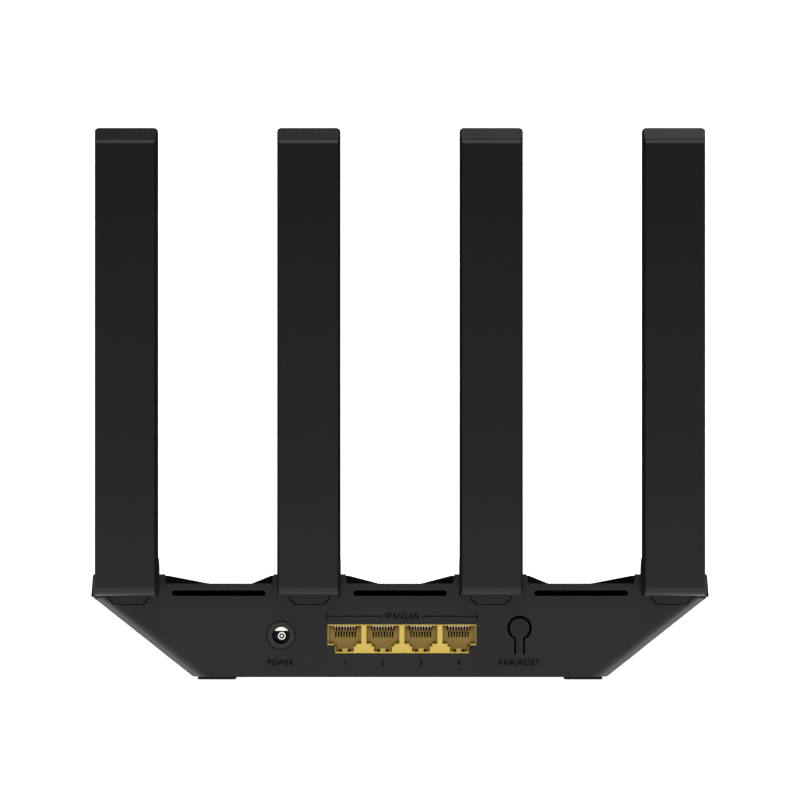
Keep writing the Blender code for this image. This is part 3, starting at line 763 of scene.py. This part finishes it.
@dataclass
class PortBlock:
    """The yellow block of four keyed network ports, with its contacts and latch catches."""

    finishes: Finishes
    middle: float = 0.7 * MM
    pitch: float = 13.97 * MM
    ways: int = 8
    way_pitch: float = 1.02 * MM
    wire_half: float = 0.25 * MM
    wire_low: float = 19.5 * MM
    wire_high: float = 19.85 * MM
    wire_edge: float = 0.07 * MM
    # The reach and the rise of each stretch of a wire, in millimetres, from its near end.
    wire_bends: tuple[tuple[float, float], ...] = ((0.9, -0.15), (5.2, -2.1), (2.2, -0.2), (1.6, 0.3))
    chamber_half: float = 0.27 * MM
    chamber_low: float = 14.75 * MM
    chamber_high: float = 17.3 * MM
    port_depth: float = 12.3 * MM
    edge: float = 0.15 * MM

    def build(self) -> None:
        """Builds the block, then what shows inside each port."""
        piece = round_off(merged_copy("ethernet_block", "network_port_block"), 0.25 * MM, 2)
        place(piece, "housing", "port_yellow", self.finishes.yellow, "ethernet_block")
        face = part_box("ethernet_block")[0].y
        for number in range(1, 5):
            x = self.middle + (number - 2.5) * self.pitch
            self.contacts(number, x, face)
            self.chambers(number, x, face)
            self.carrier(number, x, face)
            self.catch(number, x, face)
            self.wells(number, x, face)

    def first_way(self, x: float) -> float:
        """Works out where a port's first contact stands along X, from the port's middle."""
        return x - (self.ways - 1) / 2 * self.way_pitch

    def contacts(self, number: int, x: float, face: float) -> None:
        """Bends eight spring wires down from the roof of a port.

        Args:
            number: The port's number.
            x: Its middle.
            face: The block's near face, along Y.
        """
        first, near = self.first_way(x), face + 0.5 * MM
        low = (first - self.wire_half, near, self.wire_low)
        high = (first + self.wire_half, near + 0.3 * MM, self.wire_high)
        wire = block(f"port_{number}_contacts", low, high)
        for reach, rise in self.wire_bends:
            pick_faces(wire, lambda centre, normal: normal.y > 0.6)
            bpy.ops.mesh.extrude_region_move(TRANSFORM_OT_translate={"value": (0.0, reach * MM, rise * MM)})
            bpy.ops.object.mode_set(mode="OBJECT")
        round_off(wire, self.wire_edge, 2)
        array_along(wire, Axis.X, self.way_pitch, self.ways)
        place(wire, "housing", "contact_metal", self.finishes.contact, f"contact_comb_{number}")

    def chambers(self, number: int, x: float, face: float) -> None:
        """Sinks eight chambers, framed by a thin comb, into a port's back wall, near black as painted shade.

        Args:
            number: The port's number.
            x: Its middle.
            face: The block's near face, along Y.
        """
        first, back = self.first_way(x), face + self.port_depth
        low = (first - self.chamber_half, back - 0.15 * MM, self.chamber_low)
        high = (first + self.chamber_half, back, self.chamber_high)
        slot = block(f"port_{number}_chambers", low, high)
        pick_faces(slot, lambda centre, normal: facing(normal, Axis.Y, -1))
        bpy.ops.mesh.inset(thickness=0.08 * MM, depth=-0.08 * MM)
        bpy.ops.object.mode_set(mode="OBJECT")
        array_along(slot, Axis.X, self.way_pitch, self.ways)
        # the chambers' near black is painted shade
        place(slot, "housing", "chip_black", self.finishes.void)

    def carrier(self, number: int, x: float, face: float) -> None:
        """Hangs the bar that the wires pass over from a port's roof, near black as painted shade for the
        roof.

        Args:
            number: The port's number.
            x: Its middle.
            face: The block's near face, along Y.
        """
        low = (x - 4.25 * MM, face + 6.0 * MM, 17.75 * MM)
        high = (x + 4.25 * MM, face + self.port_depth, 19.9 * MM)
        bar = round_off(block(f"port_{number}_contact_carrier", low, high), self.edge, 2)
        # the bar's near black is painted shade for the shaded roof
        place(bar, "housing", "chip_black", self.finishes.void)

    def catch(self, number: int, x: float, face: float) -> None:
        """Adds the catch for a plug's latch, with its top leaning into the port.

        Args:
            number: The port's number.
            x: Its middle.
            face: The block's near face, along Y.
        """
        low = (x - 1.0 * MM, face + 0.5 * MM, 10.25 * MM)
        high = (x + 1.0 * MM, face + 3.5 * MM, 11.5 * MM)
        catch = block(f"port_{number}_latch_catch", low, high)
        pick_faces(catch, lambda centre, normal: facing(normal, Axis.Z))
        bpy.ops.transform.translate(value=(0.0, 0.4 * MM, 0.0))
        bpy.ops.object.mode_set(mode="OBJECT")
        round_off(catch, self.edge, 2)
        place(catch, "housing", "port_yellow", self.finishes.yellow)

    def wells(self, number: int, x: float, face: float) -> None:
        """Adds the two wells beside the catch at a port's foot, near black as painted shade.

        Args:
            number: The port's number.
            x: Its middle.
            face: The block's near face, along Y.
        """
        low = (x - 2.1 * MM, face - 0.02 * MM, 10.05 * MM)
        high = (x - 1.15 * MM, face + 0.6 * MM, 11.2 * MM)
        well = block(f"port_{number}_latch_wells", low, high)
        pick_faces(well, lambda centre, normal: facing(normal, Axis.Y, -1))
        bpy.ops.mesh.inset(thickness=0.06 * MM, depth=-0.05 * MM)
        bpy.ops.object.mode_set(mode="OBJECT")
        array_along(well, Axis.X, 3.2 * MM, 2)
        # the wells' near black is painted shade
        place(well, "housing", "chip_black", self.finishes.void)


@dataclass
class PowerInlet:
    """The round inlet: a stepped nylon barrel, a hollow nickel pin with its core, and a leaf spring."""

    finishes: Finishes
    pin_radius: float = 1.45 * MM
    bore_radius: float = 0.95 * MM
    bore_depth: float = 0.6 * MM
    core_radius: float = 0.5 * MM

    def build(self) -> None:
        """Builds the barrel, the pin and the spring."""
        barrel = round_off(merged_copy("power_jack_body", "power_inlet_barrel"), 0.3 * MM, 3)
        place(barrel, "housing", "jack_black", self.finishes.nylon, "power_jack_body")
        self.pin()
        spring = round_off(merged_copy("power_jack_spring", "power_inlet_spring"), 0.12 * MM, 2)
        place(spring, "housing", "contact_metal", self.finishes.nickel, "power_jack_spring")

    def pin(self) -> None:
        """Bores the pin's end, lays painted shade on the bore's floor and stands a core in it."""
        low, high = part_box("power_jack_pin")
        x, z = (low.x + high.x) / 2, (low.z + high.z) / 2
        pin = disc("power_inlet_pin", (x, low.y, z), self.pin_radius, high.y - low.y)
        pick_faces(pin, lambda centre, normal: facing(normal, Axis.Y, -1))
        bpy.ops.mesh.inset(thickness=self.pin_radius - self.bore_radius, depth=0.0)
        bpy.ops.mesh.extrude_region_move(TRANSFORM_OT_translate={"value": (0.0, self.bore_depth, 0.0)})
        bpy.ops.object.mode_set(mode="OBJECT")
        round_off(pin, 0.1 * MM, 2)
        place(pin, "housing", "contact_metal", self.finishes.nickel, "power_jack_pin")
        # a near-black disc of painted shade at the bore's floor
        bore_shade = disc(
            "power_inlet_pin_bore", (x, low.y + 0.4 * MM, z), self.bore_radius - 0.01 * MM, 0.1 * MM
        )
        place(bore_shade, "housing", "chip_black", self.finishes.void)
        core = disc("power_inlet_pin_core", (x, low.y + 0.1 * MM, z), self.core_radius, 0.35 * MM)
        round_off(core, 0.15 * MM, 3, 60.0)
        place(core, "housing", "contact_metal", self.finishes.nickel)


@dataclass
class ResetButton:
    """The round button, with the tongue that it is moulded on."""

    finishes: Finishes
    edge: float = 0.15 * MM
    foot_height: float = 0.3 * MM
    root: Point = (0.0, 0.35 * MM, -0.9 * MM)

    def build(self) -> None:
        """Builds the button, and draws the tongue's foot out so that it meets the port wall."""
        button = merged_copy("reset_button", "button_cap_and_tongue")
        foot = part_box("reset_button")[0].z + self.foot_height
        pick_faces(button, lambda centre, normal: facing(normal, Axis.Z, -1) and centre.z < foot)
        bpy.ops.mesh.extrude_region_move(TRANSFORM_OT_translate={"value": self.root})
        bpy.ops.object.mode_set(mode="OBJECT")
        round_off(button, self.edge, 2)
        place(button, "button", "housing_black", self.finishes.housing, "reset_button")


@dataclass(frozen=True)
class Word:
    """A printed word: its name as a piece, its letters, its middle, and the width that it is drawn to."""

    name: str
    letters: str
    x: float
    z: float
    width: float


@dataclass
class Markings:
    """Pad-printed words and lines on the port wall."""

    finishes: Finishes
    port_middle: float = 0.7 * MM
    port_pitch: float = 13.97 * MM
    caption_z: float = 6.3 * MM
    number_z: float = 6.2 * MM
    # The font's size is 1.36 times its capitals' height.
    font_size: float = 1.36 * 2.35 * MM
    letter_space: float = 1.08
    letter_swell: float = 0.04 * MM
    number_narrowing: float = 0.84
    ink: float = 0.05 * MM
    line_z: float = 23.4 * MM
    line_half: float = 0.16 * MM
    tick_half: float = 1.45 * MM
    line_inner: float = 7.2 * MM
    line_outer: float = 27.5 * MM

    def build(self) -> None:
        """Prints every word and line."""
        self.word(Word("mark_power", "POWER", -43.9 * MM, self.caption_z, 9.5 * MM))
        self.word(Word("mark_button", "PAIR/RESET", 43.8 * MM, self.caption_z, 15.0 * MM))
        self.word(Word("mark_ports", "WAN/LAN", self.port_middle, 23.45 * MM, 12.4 * MM))
        for number in range(1, 5):
            x = self.port_middle + (number - 2.5) * self.port_pitch
            self.word(Word(f"mark_port_{number}", str(number), x, self.number_z, 0.0))
        for side, sign in (("left", -1), ("right", 1)):
            self.line(f"mark_line_{side}", sign)

    def surface(self, z: float) -> float:
        """The wall's place along Y at a height, as it leans in towards its foot.

        Args:
            z: The height.

        Returns:
            The wall's y there.
        """
        bpy.context.view_layer.update()
        pan = bpy.data.objects["pan_with_port_wall"]
        _, spot, _, _ = pan.ray_cast((20.0 * MM, -1.0, z), (0.0, 1.0, 0.0))
        return spot.y

    def word(self, word: Word) -> None:
        """Prints a word. One with no width keeps its letters' own, narrowed as the port numbers are.

        Args:
            word: What is printed, and where.
        """
        deselect()
        bpy.ops.object.text_add(location=(0.0, 0.0, 0.0))
        letters = bpy.context.object.data
        letters.body = word.letters
        letters.size = self.font_size
        letters.align_x = "CENTER"
        letters.align_y = "CENTER"
        letters.space_character = self.letter_space
        letters.extrude = self.ink / 2
        letters.offset = self.letter_swell
        letters.resolution_u = 3
        bpy.ops.object.convert(target="MESH")
        piece = bpy.context.object
        piece.name = piece.data.name = word.name
        piece.scale.x = word.width / piece.dimensions.x if word.width else self.number_narrowing
        piece.rotation_euler = (math.pi / 2, 0.0, 0.0)
        piece.location = (word.x, self.surface(word.z) - self.ink / 2, word.z)
        settle(piece)
        bpy.ops.object.mode_set(mode="EDIT")
        bpy.ops.mesh.select_all(action="SELECT")
        bpy.ops.mesh.remove_doubles(threshold=0.001 * MM)
        bpy.ops.mesh.normals_make_consistent(inside=False)
        bpy.ops.object.mode_set(mode="OBJECT")
        place(piece, "housing", "housing_black", self.finishes.ink)

    def line(self, name: str, sign: int) -> None:
        """Prints the line that runs from the ports' word to its end tick.

        Args:
            name: The piece's name.
            sign: 1 for the line towards +X, -1 for the other.
        """
        inner = self.port_middle + sign * self.line_inner
        outer = self.port_middle + sign * self.line_outer
        end = outer + sign * self.line_half
        low, high = sorted((inner, outer))
        y, z = self.surface(self.line_z), self.line_z
        line = block(
            name, (low, y - self.ink, z - self.line_half), (high, y + self.ink, z + self.line_half)
        )
        tick = block(
            "tick",
            (end - self.line_half, y - self.ink, z - self.tick_half),
            (end + self.line_half, y + self.ink, z + self.tick_half),
        )
        place(weld(line, tick), "housing", "housing_black", self.finishes.ink)


@dataclass
class Underside:
    """Feet with a groove round a raised sole, and a blank rating label."""

    finishes: Finishes
    sole_margin: float = 0.7 * MM
    groove: float = 0.15 * MM
    groove_depth: float = 0.12 * MM
    label_border: float = 1.2 * MM

    def build(self) -> None:
        """Builds the feet and the label."""
        for end in ("rear", "front"):
            for side in ("left", "right"):
                self.foot(f"foot_{end}_{side}")
        label = merged_copy("rating_label", "blank_rating_label")
        pick_faces(label, lambda centre, normal: facing(normal, Axis.Z, -1))
        bpy.ops.mesh.inset(thickness=self.label_border, depth=0.0)
        bpy.ops.object.mode_set(mode="OBJECT")
        place(label, "housing", "label_white", self.finishes.sticker, "rating_label")

    def foot(self, node: str) -> None:
        """Shapes one foot.

        Args:
            node: The frame's node.
        """
        foot = merged_copy(node, f"rubber_{node}")
        pick_faces(foot, lambda centre, normal: facing(normal, Axis.Z, -1))
        bpy.ops.mesh.inset(thickness=self.sole_margin, depth=0.0)
        bpy.ops.mesh.inset(thickness=self.groove, depth=-self.groove_depth)
        bpy.ops.object.mode_set(mode="OBJECT")
        round_off(foot, 0.12 * MM, 2)
        place(foot, "housing", "foot_rubber", self.finishes.rubber, node)


@dataclass
class Inside:
    """What the slots and openings let one see: the board and the parts on it keep their frame shapes."""

    finishes: Finishes
    gasket_edge: float = 0.4 * MM

    def build(self) -> None:
        """Gives each inner node its finish, and builds the light guide's gasket."""
        for name, node in frame["nodes"].items():
            finish = self.finish_of(name)
            if finish is None:
                continue
            node.data.materials.clear()
            node.data.materials.append(finish)
            take(node)
            bpy.ops.object.shade_smooth_by_angle(angle=math.radians(30))
            LOG.info("dressed %s", name)
        self.gasket()

    def finish_of(self, name: str) -> bpy.types.Material | None:
        """Chooses the finish of a node that no new piece stands for.

        Args:
            name: The node's name.

        Returns:
            Its finish, or None for a node that another class builds.
        """
        f = self.finishes
        by_name = {
            "circuit_board": f.board, "heat_sink": f.aluminium, "capacitor": f.aluminium,
            "thermal_pad": f.pad, "processor_chip": f.chip, "switch_body": f.chip,
            "switch_plunger": f.yellow, "status_led": f.clear, "light_guide": f.clear,
            "magnetics_left": f.chip, "magnetics_right": f.chip,
            "shield_can_left": f.tinplate, "shield_can_right": f.tinplate,
        }
        by_end = {"_radiator": f.board, "_lead": f.sheath, "_pin": f.steel}
        if name.startswith("housing_screw"):
            return f.steel
        ends = [finish for end, finish in by_end.items() if name.endswith(end)]
        return by_name.get(name) or next(iter(ends), None)

    def gasket(self) -> None:
        """Wraps a gasket round the light guide, just behind the cover's front."""
        low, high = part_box("light_guide")
        near = (low.x - 1.5 * MM, high.y - 6.0 * MM, high.z - 3.6 * MM)
        far = (high.x + 1.5 * MM, high.y - 4.2 * MM, high.z + 0.25 * MM)
        gasket = round_off(block("light_guide_gasket", near, far), self.gasket_edge, 2)
        place(gasket, "housing", "foot_rubber", self.finishes.rubber)


# ------------------------------------------------------------------ studio


class Lit(Enum):
    """Which pieces a lamp lights."""

    ALL = "all"
    PAN = "pan_only"
    SOCKETS = "sockets_only"
    PAPER = "paper_only"


@dataclass(frozen=True)
class SoftBox:
    """A square area light: where it stands, what it faces, its side and its power in watts."""

    name: str
    spot: Point
    target: Point
    size: float
    power: float
    lit: Lit = Lit.ALL

    def build(self) -> bpy.types.Object:
        """Adds the light.

        Returns:
            The light.
        """
        lamp = bpy.data.objects.new(self.name, bpy.data.lights.new(self.name, "AREA"))
        bpy.context.scene.collection.objects.link(lamp)
        lamp.data.size = self.size
        lamp.data.energy = self.power
        lamp.location = self.spot
        lamp.rotation_euler = (Vector(self.target) - Vector(self.spot)).to_track_quat("-Z", "Y").to_euler()
        return lamp


@dataclass
class Studio:
    """A pale sweep, soft lights and a level camera square to the port wall."""

    distance: float = 1200 * MM
    eye_height: float = 102.8 * MM
    view_width: float = 293.6 * MM
    sensor: float = 36.0
    surround: float = 0.02
    wash_power: float = 3.8
    edge: float = 100 * MM
    near_half: float = 0.7
    far_half: float = 3.0
    before: float = 0.9
    behind: float = 1.9
    sheet: float = 0.01

    def build(self) -> None:
        """Builds the camera, the paper and the lights."""
        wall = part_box("bottom_shell")[0].y
        self.camera(wall)
        near, far = self.paper(wall)
        self.world()
        groups = {
            Lit.PAN: self.group(Lit.PAN, "pan_with_port_wall"),
            Lit.SOCKETS: self.group(Lit.SOCKETS, "port_", "network_port", "power_inlet"),
            Lit.PAPER: self.group(Lit.PAPER, near.name, far.name),
        }
        for soft_box in self.soft_boxes():
            lamp = soft_box.build()
            if soft_box.lit is not Lit.ALL:
                lamp.light_linking.receiver_collection = groups[soft_box.lit]
        for name, turn in (("paper_wash_down", 0.0), ("paper_wash_back", math.pi / 2)):
            self.wash(name, turn, groups[Lit.PAPER])

    def soft_boxes(self) -> list[SoftBox]:
        """Lists the soft lights, with the low ones that catch the pan's flared sides as mirror images."""
        boxes = [
            SoftBox("upper_panel", (0.0, -1.5, 2.6), (0.0, 0.0, 0.1), 1.0, 32.0),
            SoftBox("front_fill", (0.6, 1.2, 2.2), (0.0, 0.0, 0.05), 1.2, 18.0),
            SoftBox("port_fill", (0.0, -1.6, 0.3), (0.0, 0.0, 0.02), 0.5, 5.4, Lit.SOCKETS),
        ]
        for name, side in (("left", -1), ("right", 1)):
            spot, target = (side * 0.5, -0.05, -0.5), (side * 0.09, -0.06, 0.02)
            boxes.append(SoftBox(f"low_panel_{name}", spot, target, 0.35, 3.3, Lit.PAN))
        return boxes

    def group(self, lit: Lit, *starts: str) -> bpy.types.Collection:
        """Gathers the meshes that a lamp may be limited to.

        Args:
            lit: Which group it is.
            starts: How the meshes' names start.

        Returns:
            The group.
        """
        made = bpy.data.collections.new(lit.value)
        for piece in bpy.data.objects:
            if piece.type == "MESH" and piece.name.startswith(starts):
                made.objects.link(piece)
        return made

    def wash(self, name: str, turn: float, paper: bpy.types.Collection) -> None:
        """Adds an even light that falls on the paper alone.

        Args:
            name: The light's name.
            turn: How far it is tipped from straight down, in radians.
            paper: The sheets.
        """
        lamp = bpy.data.objects.new(name, bpy.data.lights.new(name, "SUN"))
        bpy.context.scene.collection.objects.link(lamp)
        lamp.data.energy = self.wash_power
        lamp.rotation_euler = (turn, 0.0, 0.0)
        lamp.light_linking.receiver_collection = paper
        lamp.light_linking.blocker_collection = paper

    def camera(self, wall: float) -> None:
        """Places the camera.

        Args:
            wall: The port wall's y.
        """
        view = bpy.data.objects.new("camera", bpy.data.cameras.new("camera"))
        bpy.context.scene.collection.objects.link(view)
        view.location = (0.0, wall - self.distance, self.eye_height)
        view.rotation_euler = (math.pi / 2, 0.0, 0.0)
        view.data.sensor_width = self.sensor
        view.data.lens = self.sensor * self.distance / self.view_width
        view.data.clip_end = 50.0
        bpy.context.scene.camera = view

    def paper(self, wall: float) -> tuple[bpy.types.Object, bpy.types.Object]:
        """Lays the paper under the object: a sheet before the port wall, and one that sweeps up behind it.

        The sheet behind is left out of reflections, so that the blades' sides stay dark.

        Args:
            wall: The port wall's y.

        Returns:
            The two sheets.
        """
        start, low = wall - self.before, -self.sheet
        near = block("studio_floor_near", (-self.near_half, start, low), (self.near_half, self.edge, 0.0))
        wings = [
            block("left", (-self.far_half, start, low), (-self.near_half, self.edge, 0.0)),
            block("right", (self.near_half, start, low), (self.far_half, self.edge, 0.0)),
            block("behind_camera", (-self.far_half, -4.0, low), (self.far_half, start, 0.0)),
        ]
        far = join("studio_sweep", [self.sweep(), *wings])
        take(far)
        bpy.ops.object.shade_smooth_by_angle(angle=math.radians(30.0))
        stock = self.stock()
        for sheet in (near, far):
            sheet.data.materials.append(stock)
            sheet.visible_shadow = False
        far.visible_diffuse = False
        far.visible_glossy = False
        return near, far

    def sweep(self) -> bpy.types.Object:
        """Raises the far end of a sheet and curves it where it rises.

        Returns:
            The sheet.
        """
        deselect()
        middle = (0.0, (self.edge + self.behind) / 2, 0.0)
        bpy.ops.mesh.primitive_plane_add(size=1.0, location=middle)
        far = bpy.context.object
        far.scale = (2 * self.far_half, self.behind - self.edge, 1.0)
        settle(far)
        last = self.behind - 0.1
        pick_edges(far, lambda a, b: min(a.y, b.y) > last)
        bpy.ops.mesh.extrude_region_move(TRANSFORM_OT_translate={"value": (0.0, 0.0, 3.0)})
        bpy.ops.object.mode_set(mode="OBJECT")
        pick_edges(far, lambda a, b: min(a.y, b.y) > last and max(a.z, b.z) < 0.1)
        bpy.ops.mesh.bevel(offset=0.9, segments=24)
        bpy.ops.object.mode_set(mode="OBJECT")
        return far

    def stock(self) -> bpy.types.Material:
        """Makes the paper's material: uncoated white stock, with faint clouding half a metre across.

        Returns:
            The material.
        """
        material, shader, where = blank_material("studio_paper")
        cloud = add_node(material, "ShaderNodeTexNoise", inputs={"Vector": where, "Scale": 1 / 0.5})
        tone = add_node(
            material, "ShaderNodeMix", {"data_type": "RGBA"},
            {"Factor": cloud.outputs["Fac"], "A": linear("#F4F4F4"), "B": linear("#F8F8F8")},
        )
        material.node_tree.links.new(tone.outputs["Result"], shader.inputs["Base Color"])
        shader.inputs["Roughness"].default_value = 0.9
        shader.inputs["Specular IOR Level"].default_value = 0.0
        return material

    def world(self) -> None:
        """Sets a surround that the camera sees as white and the object as nearly dark."""
        world = bpy.data.worlds.new("studio_white")
        world.use_nodes = True
        seen = add_node(world, "ShaderNodeLightPath")
        level = add_node(
            world, "ShaderNodeMapRange",
            inputs={"Value": seen.outputs["Is Camera Ray"], "To Min": self.surround, "To Max": 1.0},
        )
        ground = world.node_tree.nodes["Background"]
        world.node_tree.links.new(level.outputs["Result"], ground.inputs["Strength"])
        ground.inputs["Color"].default_value = (1.0, 1.0, 1.0, 1.0)
        bpy.context.scene.world = world


def main() -> None:
    """Builds the router's pieces in order, then the studio."""
    logging.basicConfig(level=logging.INFO, format="%(name)s: %(message)s")
    finishes = Finishes()
    Housing(finishes).build()
    for number in range(1, 5):
        Antenna(finishes, number).build()
    PortBlock(finishes).build()
    PowerInlet(finishes).build()
    ResetButton(finishes).build()
    Markings(finishes).build()
    Underside(finishes).build()
    Inside(finishes).build()
    Studio().build()
    bpy.context.scene.view_settings.view_transform = "Standard"
    deselect()


if __name__ == "__main__":
    main()
